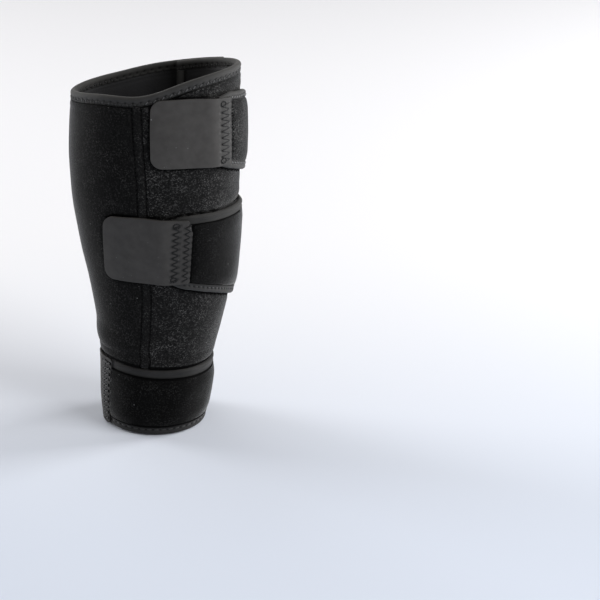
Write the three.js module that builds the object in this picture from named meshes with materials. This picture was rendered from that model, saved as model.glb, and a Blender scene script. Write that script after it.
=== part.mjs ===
// Calf compression wrap, in millimetres with +Z up: two neoprene panels sewn at a taped seam and
// wound a little more than once into a tube, bound along every edge, and closed by three straps
// that end in hook tabs. It stands on its lower rim.
//
// A place on the wrap is given by three numbers. Its turn is the angle in degrees wound on from the
// sheet's inner end, clockwise seen from above. Its height is measured from the floor. Its offset is
// the distance outwards from the panels' outer face, in the first turn of the winding.

import * as THREE from "three";

// Thicknesses and clearances
const NEOPRENE = 3.0; // panels
const STRAP_NEOPRENE = 2.6; // straps, thinned a little by their pull
const TAPE = 0.6; // one layer of binding or seam tape
const HOOK_SHEET = 1.4; // hook tabs
const GAP = 0.3; // kept between layers that are sewn together
const PROUD = 0.2; // how far a tape stands above the face that it is sewn to
const STRAP_SEAT = 0.7; // from the panels' outer face to the inner face of a strap lying on it

// Widths
const RIM_BINDING = 7.0;
const STRAP_BINDING = 6.0;
const SEAM_TAPE = 6.4;
const STEP = 0.3; // run of the small ramp where neoprene is squeezed into a tape

// Winding
const INNER_END_ANGLE = 75; // of the sheet's inner end, in degrees from +X
const SEAM_TURN = 175; // the taped seam that shows at the front
const SHEET_TURN = 395; // the outer end, which laps over the inner end
const LAP = { from: 315, to: 352 }; // where the sheet climbs over its own inner end
const STRAP_ROOT_TURN = 377; // straps start here, sewn on the outer end
const STRAP_LEAVES_TURN = SHEET_TURN + 2; // and leave it here
const LAP_RISE = NEOPRENE + 2 * PROUD + GAP;

// Tube form: the panels' outer face seen from the front, to the left and right of the tube's axis, and
// the tube's depth from front to back as a share of its width
const TUBE_OUTLINE = [
  { height: 0, left: -35.4, right: 33.0, depth: 1.06 },
  { height: 15, left: -37.2, right: 35.8, depth: 1.05 },
  { height: 34, left: -37.7, right: 38.4, depth: 1.02 },
  { height: 51, left: -37.7, right: 39.5, depth: 1.0 },
  { height: 55.5, left: -37.9, right: 41.6, depth: 0.99 },
  { height: 59.5, left: -38.6, right: 43.2, depth: 0.98 },
  { height: 64.5, left: -43.2, right: 44.6, depth: 0.97 },
  { height: 84, left: -45.6, right: 49.4, depth: 0.96 },
  { height: 98, left: -47.7, right: 52.4, depth: 0.96 },
  { height: 122, left: -52.0, right: 56.2, depth: 0.96 },
  { height: 141, left: -56.1, right: 57.6, depth: 0.96 },
  { height: 159, left: -59.5, right: 58.4, depth: 0.96 },
  { height: 178, left: -62.2, right: 59.6, depth: 0.96 },
  { height: 198, left: -63.3, right: 61.0, depth: 0.96 },
  { height: 218, left: -63.7, right: 61.4, depth: 0.96 },
  { height: 242, left: -62.6, right: 60.9, depth: 0.96 },
  { height: 260, left: -60.6, right: 60.4, depth: 0.96 },
  { height: 282, left: -58.6, right: 59.8, depth: 0.96 },
];

// Upper rim: a slanting cut with a shallow dip at the seam
const RIM = { middle: 266.5, slant: 13, highAngle: -35, dip: 5.7, dipSpread: 25 };

// Straps, from root to end: their lower and upper edges. They settle on the panels at settledTurn.
// A hook tab is cut square to its own run, so its upper edge lags its lower one by its lean, in degrees.
const STRAPS = [
  {
    name: "upper",
    settledTurn: 458,
    columns: 15,
    edges: [
      { turn: 377, low: 184, high: 242 },
      { turn: 415, low: 190, high: 249 },
      { turn: 435, low: 197, high: 254 },
      { turn: 470, low: 208.5, high: 264.8 },
      { turn: 481, low: 212.7, high: 262.5 },
    ],
    tab: [
      { turn: 470, low: 211.6, high: 261.0, lean: 0 },
      { turn: 503, low: 214.2, high: 264.2, lean: -0.7 },
      { turn: 528, low: 214.9, high: 264.0, lean: -1.4 },
    ],
  },
  {
    name: "middle",
    settledTurn: 432,
    columns: 20,
    edges: [
      { turn: 377, low: 93, high: 165 },
      { turn: 435, low: 101, high: 174 },
      { turn: 458, low: 107.4, high: 180.5 },
      { turn: 479, low: 113.4, high: 181.2 },
      { turn: 505, low: 120.1, high: 180.5 },
      { turn: 515, low: 124.3, high: 177.9 },
    ],
    tab: [
      { turn: 502, low: 123.5, high: 178.0, lean: 1.9 },
      { turn: 535, low: 125.7, high: 177.9, lean: 4.5 },
      { turn: 565, low: 126.2, high: 176.0, lean: 7.4 },
    ],
  },
  {
    name: "lower",
    settledTurn: 427,
    columns: 30,
    edges: [
      { turn: 377, low: 2.0, high: 51.6 },
      { turn: 435, low: 1.0, high: 51.4 },
      { turn: 480, low: 0.8, high: 51.6 },
      { turn: 531, low: 0.8, high: 53.8 },
      { turn: 580, low: 1.0, high: 57.8 },
      { turn: 597, low: 1.2, high: 57.2 },
    ],
    tab: [
      { turn: 579, low: 1.2, high: 57.2, lean: 0 },
      { turn: 625, low: 1.2, high: 56.6, lean: 0 },
      { turn: 669, low: 1.2, high: 55.0, lean: 0 },
    ],
  },
];
const TAB_CORNER = 8; // radius of a hook tab's free corners
const TAB_OVERHANG = 1; // run past its strap's end before a tab starts down
const TAB_FALL = 12; // run over which it comes down to the panel

// Facets
const PANEL_COLUMNS = { front: 19, calf: 25 };
const RIM_COLUMNS = 50;
const TAB_FACETS = { along: 11, across: 5, corner: 4 };

// Materials
const cloth = (name, color, roughness) =>
  new THREE.MeshStandardMaterial({ name, color, roughness, metalness: 0 });
const NEOPRENE_CLOTH = cloth("loop_pile", 0x1c1c1d, 0.95);
const BINDING_TAPE = cloth("binding_tape", 0x3a3b3c, 0.8);
const HOOK_TAPE = cloth("hook_tape", 0x434344, 0.6);

const degrees = THREE.MathUtils.radToDeg;
const radians = THREE.MathUtils.degToRad;
const smoothstep = THREE.MathUtils.smoothstep;

// A smooth curve through a table's rows: the value of each named column at any key.
function curveThrough(rows, key, columns) {
  const keys = rows.map((row) => row[key]);
  const values = rows.flatMap((row) => columns.map((column) => row[column]));
  const curve = new THREE.CubicInterpolant(keys, values, columns.length);
  return (at) => {
    const within = THREE.MathUtils.clamp(at, keys[0], keys.at(-1));
    const found = curve.evaluate(within);
    return Object.fromEntries(columns.map((column, i) => [column, found[i]]));
  };
}

const tubeOutline = curveThrough(TUBE_OUTLINE, "height", ["left", "right", "depth"]);

function tubeRadius(height) {
  const { left, right } = tubeOutline(height);
  return (right - left) / 2;
}

// The angle in degrees that a length along the panels spans at a height.
const turnOf = (length, height) => degrees(length / tubeRadius(height));

// The place at a turn, height and offset, about the tube's axis.
function place(turn, height, offset) {
  const { left, right, depth } = tubeOutline(height);
  const angle = radians(INNER_END_ANGLE - turn);
  const radius = (right - left) / 2;
  return new THREE.Vector3(
    (left + right) / 2 + (radius + offset) * Math.cos(angle),
    (depth * radius + offset) * Math.sin(angle),
    height,
  );
}

function rimHeight(turn) {
  const angle = INNER_END_ANGLE - turn;
  const fromSeam = ((turn - SEAM_TURN + 540) % 360) - 180;
  const slanted = RIM.middle + RIM.slant * Math.cos(radians(angle - RIM.highAngle));
  return slanted - RIM.dip * Math.exp(-((fromSeam / RIM.dipSpread) ** 2));
}

// How far the sheet itself has climbed at a turn, on its way over its inner end.
const sheetRise = (turn) => LAP_RISE * smoothstep(turn, LAP.from, LAP.to);

// How far out the surface lies that a strap or tab passes over.
function seatRise(turn, settledTurn) {
  const onLap = sheetRise(turn) - LAP_RISE * smoothstep(turn, STRAP_LEAVES_TURN, settledTurn);
  return onLap + sheetRise(turn - 360);
}

// A closed solid skinned through sections that stand side by side. Each section has a path of points
// on the solid's outside and one on its inside, with as many points.
function skin(name, sections, material) {
  const rings = sections.map(({ outside, inside }) => [...outside, ...[...inside].reverse()]);
  const around = rings[0].length;
  const lastRing = rings.length - 1;
  const corner = (ring, place) => ring * around + (place % around);
  const triangles = [];
  const quad = (a, b, c, d) => triangles.push(a, b, c, a, c, d);

  for (let ring = 0; ring < lastRing; ring += 1) {
    for (let place = 0; place < around; place += 1) {
      const [here, next] = [corner(ring, place), corner(ring, place + 1)];
      quad(here, next, next + around, here + around);
    }
  }
  for (let row = 0; row < around / 2 - 1; row += 1) {
    const endWall = [row, row + 1, around - 2 - row, around - 1 - row];
    quad(...endWall.map((place) => corner(0, place)).reverse());
    quad(...endWall.map((place) => corner(lastRing, place)));
  }

  const geometry = new THREE.BufferGeometry().setFromPoints(rings.flat());
  geometry.setIndex(triangles);
  geometry.computeVertexNormals();
  const mesh = new THREE.Mesh(geometry, material);
  mesh.name = name;
  return mesh;
}

function evenly(count, from, to) {
  return Array.from({ length: count + 1 }, (_, i) => from + ((to - from) * i) / count);
}

// Neoprene is squeezed thinner under a tape, by this much from each taped face.
const SQUEEZE = TAPE + GAP - PROUD;
const LIP = TAPE + GAP; // from a bound edge to the neoprene inside it

// Distances in from a bound edge at which the section changes: lip, end of the tape, full thickness.
const boundEdge = (binding) => [LIP, binding + GAP, binding + GAP + STEP];

// Heights of the panels' rows between their bindings
const PANEL_ROWS = [20, 36, 45, 51, 55.5, 59.5, 64.5, 82, 104, 130, 160, 194, 230];

function panelHeights(turn) {
  const edge = boundEdge(RIM_BINDING);
  return [...edge, ...PANEL_ROWS, ...edge.map((inset) => rimHeight(turn) - inset).reverse()];
}

// A panel from one turn to another. Each end is bound, with a squeeze on both faces, or meets the other
// panel at the seam, with a squeeze on the outer face alone.
function panel(name, from, to, columns) {
  const seamEdge = [GAP / 2, SEAM_TAPE / 2 + GAP, SEAM_TAPE / 2 + GAP + STEP];
  const insetsAt = (end) => (end === SEAM_TURN ? seamEdge : boundEdge(RIM_BINDING));
  const [fromInsets, toInsets] = [insetsAt(from), insetsAt(to)];
  const middle = evenly(columns, 0, 1).slice(1, -1);
  const endStations = (end, share) =>
    insetsAt(end).map((inset, i) => ({ share, inset, taped: i < 2, seam: end === SEAM_TURN }));
  const stations = [
    ...endStations(from, 0),
    ...middle.map((share) => ({ share, taped: false, seam: false })),
    ...endStations(to, 1).reverse(),
  ];
  // A station between the taped ends shares out the turn that they leave at its height.
  const turnAt = ({ share, inset }, height) => {
    const first = from + turnOf(inset ?? fromInsets.at(-1), height);
    const last = to - turnOf(inset ?? toInsets.at(-1), height);
    return first + (last - first) * share;
  };
  const sections = stations.map((station) => {
    const outside = [];
    const inside = [];
    panelHeights(from + (to - from) * station.share).forEach((nearHeight, row, rows) => {
      const turn = turnAt(station, nearHeight);
      const height = panelHeights(turn)[row];
      const boundRow = row < 2 || row >= rows.length - 2;
      const outerTaped = station.taped || boundRow;
      const innerTaped = (station.taped && !station.seam) || boundRow;
      const outer = sheetRise(turn);
      outside.push(place(turn, height, outer - (outerTaped ? SQUEEZE : 0)));
      inside.push(place(turn, height, outer - NEOPRENE + (innerTaped ? SQUEEZE : 0)));
    });
    return { outside, inside };
  });
  return skin(name, sections, NEOPRENE_CLOTH);
}

// The two paths of a tape folded over an edge: pointAt(inset, offset) is a place at a distance in from
// the edge, and the sheet's faces lie at the offsets inner and outer.
function foldedTape(width, inner, outer, pointAt) {
  const [low, high] = [inner - PROUD, outer + PROUD];
  const outside = [[width, high], [0, high], [0, low], [width, low]];
  const [lowInside, highInside] = [low + TAPE, high - TAPE];
  const inside = [[width, highInside], [TAPE, highInside], [TAPE, lowInside], [width, lowInside]];
  const path = (pairs) => pairs.map(([inset, offset]) => pointAt(inset, offset));
  return { outside: path(outside), inside: path(inside) };
}

// Binding round the upper or lower rim of the whole sheet.
function rimBinding(name, isUpper) {
  const sections = evenly(RIM_COLUMNS, 0, SHEET_TURN).map((turn) => {
    const rise = sheetRise(turn);
    const pointAt = (inset, offset) => place(turn, isUpper ? rimHeight(turn) - inset : inset, offset);
    const tape = foldedTape(RIM_BINDING, rise - NEOPRENE, rise, pointAt);
    return isUpper ? tape : { outside: tape.outside.reverse(), inside: tape.inside.reverse() };
  });
  return skin(name, sections, BINDING_TAPE);
}

// Heights of what runs up the sheet between its rim bindings, at a turn.
function betweenBindings(turn) {
  return [RIM_BINDING + GAP, ...PANEL_ROWS, rimHeight(turn) - RIM_BINDING - GAP];
}

// Binding down one of the sheet's ends.
function endBinding(name, endTurn) {
  const intoSheet = endTurn === 0 ? 1 : -1;
  const rise = sheetRise(endTurn);
  const sections = betweenBindings(endTurn).map((nearHeight, row) => {
    const pointAt = (inset, offset) => {
      const turn = endTurn + intoSheet * turnOf(inset, nearHeight);
      return place(turn, betweenBindings(turn)[row], offset);
    };
    const tape = foldedTape(RIM_BINDING, rise - NEOPRENE, rise, pointAt);
    return intoSheet === 1 ? tape : { outside: tape.outside.reverse(), inside: tape.inside.reverse() };
  });
  return skin(name, sections, BINDING_TAPE);
}

// The tape that covers the seam between the two panels.
function seamTape() {
  const sections = betweenBindings(SEAM_TURN).map((nearHeight, row) => {
    const half = turnOf(SEAM_TAPE / 2, nearHeight);
    const turns = [SEAM_TURN + half, SEAM_TURN, SEAM_TURN - half];
    const across = (offset) => turns.map((turn) => place(turn, betweenBindings(turn)[row], offset));
    return { outside: across(PROUD), inside: across(PROUD - TAPE) };
  });
  return skin("seam_tape", sections, NEOPRENE_CLOTH);
}

// Places across a strap, from its lower to its upper edge.
function strapHeights({ low, high }) {
  const edge = boundEdge(STRAP_BINDING);
  const thirds = [1 / 3, 2 / 3].map((share) => low + (high - low) * share);
  return [...edge.map((inset) => low + inset), ...thirds, ...edge.map((inset) => high - inset).reverse()];
}

function strap({ name, settledTurn, columns, edges }) {
  const edgesAt = curveThrough(edges, "turn", ["low", "high"]);
  const turns = evenly(columns, STRAP_ROOT_TURN, edges.at(-1).turn);
  const innerFace = (turn) => seatRise(turn, settledTurn) + STRAP_SEAT;

  const bodySections = turns.map((turn) => {
    const inner = innerFace(turn);
    const rows = strapHeights(edgesAt(turn));
    const squeezed = (row) => (row < 2 || row >= rows.length - 2 ? SQUEEZE : 0);
    return {
      outside: rows.map((height, row) => place(turn, height, inner + STRAP_NEOPRENE - squeezed(row))),
      inside: rows.map((height, row) => place(turn, height, inner + squeezed(row))),
    };
  });

  const bindingSections = (isUpper) =>
    turns.map((turn) => {
      const inner = innerFace(turn);
      const { low, high } = edgesAt(turn);
      const pointAt = (inset, offset) => place(turn, isUpper ? high - inset : low + inset, offset);
      const tape = foldedTape(STRAP_BINDING, inner, inner + STRAP_NEOPRENE, pointAt);
      return isUpper ? tape : { outside: tape.outside.reverse(), inside: tape.inside.reverse() };
    });

  return [
    skin(`${name}_strap`, bodySections, NEOPRENE_CLOTH),
    skin(`${name}_strap_top_binding`, bindingSections(true), BINDING_TAPE),
    skin(`${name}_strap_bottom_binding`, bindingSections(false), BINDING_TAPE),
  ];
}

// A hook tab: sewn over its strap's end, then down on the panel, with round corners at its free end.
function hookTab({ name, settledTurn, edges, tab }) {
  const edgesAt = curveThrough(tab, "turn", ["low", "high", "lean"]);
  const middleHeight = (tab[0].low + tab[0].high) / 2;
  const [rootTurn, freeTurn] = [tab[0].turn, tab.at(-1).turn];
  const strapEnd = edges.at(-1).turn;
  const fallStart = strapEnd + turnOf(TAB_OVERHANG, middleHeight);
  const fallEnd = fallStart + turnOf(TAB_FALL, middleHeight);
  const onStrap = STRAP_NEOPRENE + PROUD + GAP;

  const straight = evenly(TAB_FACETS.along, rootTurn, freeTurn - turnOf(TAB_CORNER, middleHeight));
  const corner = evenly(TAB_FACETS.corner, 0, Math.PI / 2).slice(1);
  const stations = [
    ...straight.map((turn) => ({ turn, inset: 0 })),
    ...corner.map((arc) => ({
      turn: freeTurn - turnOf(TAB_CORNER * (1 - Math.sin(arc)), middleHeight),
      inset: TAB_CORNER * (1 - Math.cos(arc)),
    })),
  ];
  const innerFace = (turn) => {
    const onPanel = seatRise(turn, settledTurn) + STRAP_SEAT;
    return onPanel + onStrap * (1 - smoothstep(turn, fallStart, fallEnd));
  };
  const sections = stations.map(({ turn, inset }) => {
    const { low, high, lean } = edgesAt(turn);
    const leaning = (height) => turn - lean * ((height - low) / (high - low) - 0.5);
    const rows = evenly(TAB_FACETS.across, low + inset, high - inset);
    const face = (offset) =>
      rows.map((height) => place(leaning(height), height, innerFace(leaning(height)) + offset));
    return { outside: face(HOOK_SHEET), inside: face(0) };
  });
  return skin(`${name}_hook_tab`, sections, HOOK_TAPE);
}

const sheet = new THREE.Group();
sheet.add(
  panel("front_panel", 0, SEAM_TURN, PANEL_COLUMNS.front),
  panel("calf_panel", SEAM_TURN, SHEET_TURN, PANEL_COLUMNS.calf),
  seamTape(),
  rimBinding("top_binding", true),
  rimBinding("bottom_binding", false),
  endBinding("inner_end_binding", 0),
  endBinding("outer_end_binding", SHEET_TURN),
);

const closures = STRAPS.map((row) => new THREE.Group().add(...strap(row), hookTab(row)));

// The tube's axis stands so that the whole wrap is centred over the origin.
const wrap = new THREE.Group().add(sheet, ...closures);
const middle = new THREE.Box3().setFromObject(wrap, true).getCenter(new THREE.Vector3());
wrap.children.forEach((part) => part.position.set(-middle.x, -middle.y, 0));

export default wrap;
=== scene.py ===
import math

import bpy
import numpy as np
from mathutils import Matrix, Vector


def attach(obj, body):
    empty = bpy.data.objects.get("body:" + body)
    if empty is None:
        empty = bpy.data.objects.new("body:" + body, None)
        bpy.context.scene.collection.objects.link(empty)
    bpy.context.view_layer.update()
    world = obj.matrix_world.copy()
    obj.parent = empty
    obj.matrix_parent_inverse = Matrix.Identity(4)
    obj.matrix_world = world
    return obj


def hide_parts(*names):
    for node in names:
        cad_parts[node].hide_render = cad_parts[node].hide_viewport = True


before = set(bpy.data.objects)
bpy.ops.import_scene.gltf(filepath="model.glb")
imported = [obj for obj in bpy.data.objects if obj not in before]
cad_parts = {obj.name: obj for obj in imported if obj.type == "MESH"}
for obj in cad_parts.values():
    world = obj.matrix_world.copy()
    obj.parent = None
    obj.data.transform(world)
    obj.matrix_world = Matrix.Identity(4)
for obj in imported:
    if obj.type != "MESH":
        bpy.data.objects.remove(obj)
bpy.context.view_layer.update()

# Calf compression wrap: its neoprene, tapes, hook tabs and stitches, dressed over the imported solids.
# The tables are in millimetres. A place on the wrap has three numbers, as in the part's source: its
# turn, in degrees wound on from the sheet's inner end, clockwise seen from above; its height from the
# floor; and its offset outwards from the panels' outer face.

MM = 0.001

# Winding
AXIS_X, AXIS_Y = -1.35, -0.22  # the tube's axis, from the frame's origin
INNER_END_ANGLE = 75
SEAM_TURN = 175
SHEET_TURN = 395
LAP_FROM, LAP_TO = 315, 352
LAP_RISE = 3.7
STRAP_ROOT_TURN = 377
STRAP_LEAVES_TURN = 397
STRAP_PRESSES_FROM, STRAP_PRESSES_BY = 407, 427  # where a strap comes to press on the panel
HIDDEN_TURN = 40  # the sheet's first turns lie under its lap

# Thicknesses and widths
NEOPRENE = 3.0
STRAP_NEOPRENE = 2.6
SQUEEZE = 0.8  # off each face, where neoprene is sewn into a tape
TAPE = 0.6
SEAM_TAPE = 0.5
HOOK_SHEET = 1.4
STRAP_SEAT = 0.7
LIP = 0.9
RIM_BINDING = 7.0
STRAP_BINDING = 6.0
SEAM_WIDTH = 6.4
TAB_CORNER = 8.0
TAB_ROOT_CORNER = 2.0
TAB_OVERHANG = 1.0
TAB_FALL = 24.0
TAB_BOW_AT = 6.0  # stiff tape bows up a little this far past its strap's end
TAB_BOW_SPREAD = 5.0
TAB_SEAT = 0.5  # room between a tab and its strap's face

# Tube form: the panels' outer face seen from the front, to the left and right of the tube's axis, and the
# tube's depth from front to back as a share of its width
TUBE_OUTLINE = {
    "height": (0, 15, 34, 51, 55.5, 59.5, 64.5, 84, 98, 122, 141, 159, 178, 198, 218, 242, 260, 282),
    "left": (-35.4, -37.2, -37.7, -37.7, -37.9, -38.6, -43.2, -45.6, -47.7, -52.0, -56.1, -59.5, -62.2,
             -63.3, -63.7, -62.6, -60.6, -58.6),
    "right": (33.0, 35.8, 38.4, 39.5, 41.6, 43.2, 44.6, 49.4, 52.4, 56.2, 57.6, 58.4, 59.6, 61.0, 61.4,
              60.9, 60.4, 59.8),
    "depth": (1.06, 1.05, 1.02, 1.0, 0.99, 0.98, 0.97, *[0.96] * 11),
}
# The panels hang from this height down to the lower strap, tapering in, and come away from its edge between
# two distances above it
HANG = {"height": 64.5, "left_taper": 0.12, "right_taper": 0.25, "comes_away": (0.2, 1.8)}
RIM = {"middle": 266.5, "slant": 13, "high_angle": -35, "dip": 5.7, "dip_spread": 25}

# The seam wanders a little to either side of its turn
SEAM_LINE = {
    "height": (0, 52, 57, 62, 86, 119, 150, 185, 208, 232, 268),
    "turn": (180.8, 180.8, 180.4, 178.4, 177.2, 175.7, 174.2, 173.7, 174.7, 176.3, 179.6),
}

# Shallow swells of the neoprene: their rise, waves round the tube, and the heights over which a wave leans
# and fades
SWELLS = (
    {"rise": 0.30, "waves": 3, "lean": 19, "fade": 31, "shift": 1.3},
    {"rise": 0.14, "waves": 7, "lean": -9, "fade": 17, "shift": 0.0},
)
SWELLS_FULL_BY = 12  # height from the floor

# Straps and their hook tabs, by these keys:
# settled: the turn by which the strap has come down from the lap
# edges: the strap's lower and upper edges along the winding
# tab: the tab's edges; its upper edge lags its lower one by its lean, in degrees
# zigzags: rows of stitches that hold the tab on the strap, each between two distances from its root
# root_cut: how far the root's upper corner is cut back
# root_sunk: how far the stitches draw the root down
# root_dip: over how many degrees before the root the strap dips under it
# bow: how far the tab bows out past the strap's end
# sewn_shade, edge_shade: how dark the tab's sewn strip, and the pile and tape edges beside the bindings,
# are painted as shade
# open_holes: whether the tab's needle holes stand open, painted black as shade
# top_tape: the width of the upper binding's tape
# fold_round: how far the bindings' folds fall away
# crease: how deep the panel creases along the strap
# crown: how far the strap's face bows out
STRAPS = {
    "upper": {
        "settled": 446,
        "edges": {
            "turn": (377, 415, 435, 447, 458, 470, 481),
            "low": (184, 190, 195.8, 199.6, 203.6, 207.6, 212.0),
            "high": (242, 250, 256.3, 259.8, 261.2, 263.6, 262.5),
        },
        "tab": {
            "turn": (471.2, 503, 528.6),
            "low": (211.6, 214.2, 214.9),
            "high": (261.0, 264.2, 264.0),
            "lean": (0, -0.7, -1.4),
        },
        "zigzags": ((1.2, 10.8),),
        "root_cut": 0.0,
        "root_sunk": 0.0,
        "root_dip": 3.5,
        "bow": 0.1,
        "sewn_shade": 0.42,
        "edge_shade": 0.3,
        "open_holes": False,
        "top_tape": 5.0,
        "fold_round": 0.64,
        "crease": 0.5,
        "crown": 1.3,
    },
    "middle": {
        "settled": 432,
        "edges": {
            "turn": (377, 435, 447, 479, 501, 509, 515),
            "low": (93, 99.4, 102.8, 112.8, 119.0, 121.4, 124.3),
            "high": (165, 174, 175.6, 177.0, 178.0, 177.6, 175.0),
        },
        "tab": {
            "turn": (502, 535, 565),
            "low": (126.0, 126.0, 126.2),
            "high": (175.2, 177.4, 176.0),
            "lean": (4.0, 4.8, 7.4),
        },
        "zigzags": ((1.0, 5.8), (8.6, 13.8)),
        "root_cut": 3.2,
        "root_sunk": 0.0,
        "root_dip": 3.5,
        "bow": 1.0,
        "sewn_shade": 0.12,
        "edge_shade": 0.55,
        "open_holes": False,
        "top_tape": 6.0,
        "fold_round": 0.64,
        "crease": 0.9,
        "crown": 1.1,
    },
    "lower": {
        "settled": 427,
        "edges": {
            "turn": (377, 435, 480, 531, 580, 600),
            "low": (2.0, 1.0, 0.8, 0.8, 1.0, 1.2),
            "high": (51.6, 51.4, 51.6, 53.0, 55.2, 55.4),
        },
        "tab": {
            "turn": (583, 625, 669),
            "low": (1.2, 1.6, 2.0),
            "high": (55.2, 55.6, 55.0),
            "lean": (9, 6, 3),
        },
        "zigzags": ((1.4, 6.2), (4.4, 9.2), (7.0, 11.6)),
        "root_cut": 0.0,
        "root_sunk": 0.9,
        "root_dip": 0.6,
        "bow": 0.3,
        "sewn_shade": 0.49,
        "edge_shade": 1.0,
        "open_holes": True,
        "top_tape": 6.0,
        "fold_round": 0.0,
        "crease": 0.5,
        "crown": 0.9,
    },
}

# A tape folded over an edge: how far in from the edge its face is, and how far above the sheet's face,
# from its free edge to the crown of the fold
FOLD = {
    "inset": (7.0, 6.3, 5.3, 4.2, 3.0, 1.7, 0.6, 0.0),
    "rise": (0.30, 0.10, -0.05, 0.20, 0.75, 0.85, 0.15, -1.5),
}
FOLD_ROUND_REACH = 1.3  # how far in from the edge a rounder fold falls away

# Creases along a strap's edges: their share of its depth, how far they are from the edge, and their spread
CREASES_ABOVE = ((1.0, 1.0, 2.2), (-0.4, 7.0, 3.5))
CREASES_BELOW = ((0.6, 0.8, 1.6),)
CREASE_FADES = 14  # over so many degrees past the strap's end

# Lines along edges, painted dark as shadow on the pile: how far they are outside the edge, and their
# spread. A tab's line is also pressed in this deep.
TAB_LINE = {"at": 0.4, "spread": 1.3, "depth": 0.8}
STRAP_LINES = {"above": (0.6, 0.9), "below": (0.9, 1.1)}
STRAP_LINES_FADE = 6  # over so many degrees past the strap's end
DEEP_CREASE = 0.6  # only a strap that creases the panel deeper than this has a shadow line painted above it
TUCK = {"at": 0.8, "full": 2.0, "none": 3.2}  # where the panel is tucked into the lower strap, with a shadow line painted there

# Photo: where the camera stood, and where in its 600 pixel frame the wrap's middle falls
PHOTO_SIZE = 600
PHOTO_FOCAL = 2430
PHOTO_MIDDLE = (157, 245)
CAMERA_DISTANCE = 1.8
CAMERA_ELEVATION = 19.5
WRAP_MIDDLE = 136.5


def ease(x, start, end):
    """0 before start, 1 after end, and smooth between."""
    share = np.clip((x - start) / (end - start), 0, 1)
    return share * share * (3 - 2 * share)


def ridge(x, middle, spread):
    """1 at the middle, falling away smoothly to 0 on both sides."""
    return np.exp(-(((x - middle) / spread) ** 2))


def curve_through(table, key, column):
    """A smooth curve through a table: at each row its slope is the mean of the slopes on both sides."""
    keys = np.array(table[key], float)
    values = np.array(table[column], float)
    secants = np.diff(values) / np.diff(keys)
    slopes = np.concatenate([secants[:1], (secants[1:] + secants[:-1]) / 2, secants[-1:]])

    def at(x):
        x = np.clip(x, keys[0], keys[-1])
        row = np.clip(np.searchsorted(keys, x, side="right") - 1, 0, len(keys) - 2)
        span = keys[row + 1] - keys[row]
        p = (x - keys[row]) / span
        blend = p * p * (3 - 2 * p)
        bow = span * p * (1 - p) * (slopes[row] * (1 - p) - slopes[row + 1] * p)
        return values[row] * (1 - blend) + values[row + 1] * blend + bow

    return at


tube_left = curve_through(TUBE_OUTLINE, "height", "left")
tube_right = curve_through(TUBE_OUTLINE, "height", "right")
tube_depth = curve_through(TUBE_OUTLINE, "height", "depth")
seam_turn = curve_through(SEAM_LINE, "height", "turn")


def tube_radius(height):
    return (tube_right(height) - tube_left(height)) / 2


def turn_of(length, height):
    """The turn, in degrees, that a length along the panels spans at a height."""
    return np.degrees(length / tube_radius(height))


def swell(angle, height):
    """Neoprene never lies dead even: shallow swells that every layer follows."""
    total = 0.0
    for wave in SWELLS:
        round_tube = np.sin(wave["waves"] * angle + height / wave["lean"])
        total = total + wave["rise"] * round_tube * np.sin(height / wave["fade"] + wave["shift"])
    return total


def on_tube(turn, height, offset):
    """Points in metres at turns, heights and offsets."""
    turn, height, offset = np.broadcast_arrays(*(np.asarray(x, float) for x in (turn, height, offset)))
    angle = np.radians(INNER_END_ANGLE - turn)
    radius = tube_radius(height)
    out = offset + swell(angle, height) * ease(height, 0, SWELLS_FULL_BY)
    x = AXIS_X + (tube_left(height) + tube_right(height)) / 2 + (radius + out) * np.cos(angle)
    y = AXIS_Y + (tube_depth(height) * radius + out) * np.sin(angle)
    return MM * np.stack([x, y, height], axis=-1)


def outward(turn, height):
    """Unit vectors straight out of the wrap."""
    out = on_tube(turn, height, 1.0) - on_tube(turn, height, 0.0)
    return out / np.linalg.norm(out, axis=-1, keepdims=True)


def rim_height(turn):
    angle = INNER_END_ANGLE - turn
    from_seam = (turn - SEAM_TURN + 540) % 360 - 180
    slanted = RIM["middle"] + RIM["slant"] * np.cos(np.radians(angle - RIM["high_angle"]))
    return slanted - RIM["dip"] * ridge(from_seam, 0, RIM["dip_spread"])


def sheet_rise(turn):
    """How far the sheet has climbed on its way over its own inner end."""
    return LAP_RISE * ease(turn, LAP_FROM, LAP_TO)


def seat_rise(turn, settled):
    """How far out the surface lies that a strap or tab passes over."""
    on_lap = sheet_rise(turn) - LAP_RISE * ease(turn, STRAP_LEAVES_TURN, settled)
    return on_lap + sheet_rise(turn - 360)


def strap_edges(strap):
    """Curves of a strap's lower and upper edges, and the turn where it ends."""
    edges = strap["edges"]
    return curve_through(edges, "turn", "low"), curve_through(edges, "turn", "high"), edges["turn"][-1]


def tab_form(strap):
    """A tab's edges, and the turn and height of its inner face at a distance from its root."""
    tab, settled = strap["tab"], strap["settled"]
    middle = (tab["low"][0] + tab["high"][0]) / 2
    per_mm = float(turn_of(1.0, middle))
    root, free = tab["turn"][0], tab["turn"][-1]
    length = (free - root) / per_mm
    fall_start = strap["edges"]["turn"][-1] + TAB_OVERHANG * per_mm
    fall_end = fall_start + TAB_FALL * per_mm

    def inner(turn):
        on_strap = (STRAP_NEOPRENE + TAB_SEAT) * (1 - ease(turn, fall_start, fall_end))
        past_end = (turn - fall_start) / per_mm
        bow = strap["bow"] * ridge(past_end, TAB_BOW_AT, TAB_BOW_SPREAD)
        sunk = strap["root_sunk"] * (1 - ease(turn, root, fall_start))
        return seat_rise(turn, settled) + STRAP_SEAT + on_strap + bow - sunk

    return {
        "low": curve_through(tab, "turn", "low"),
        "high": curve_through(tab, "turn", "high"),
        "lean": curve_through(tab, "turn", "lean"),
        "inner": inner,
        "root": root,
        "leaves": (fall_start - root) / per_mm,
        "per_mm": per_mm,
        "length": length,
    }


def tab_place(form, along, share):
    """Turn and height at a distance along a tab from its root, and at a share of the way up it."""
    turn = form["root"] + along * form["per_mm"]
    low, high = form["low"](turn), form["high"](turn)
    return turn - form["lean"](turn) * (share - 0.5), low + (high - low) * share


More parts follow.
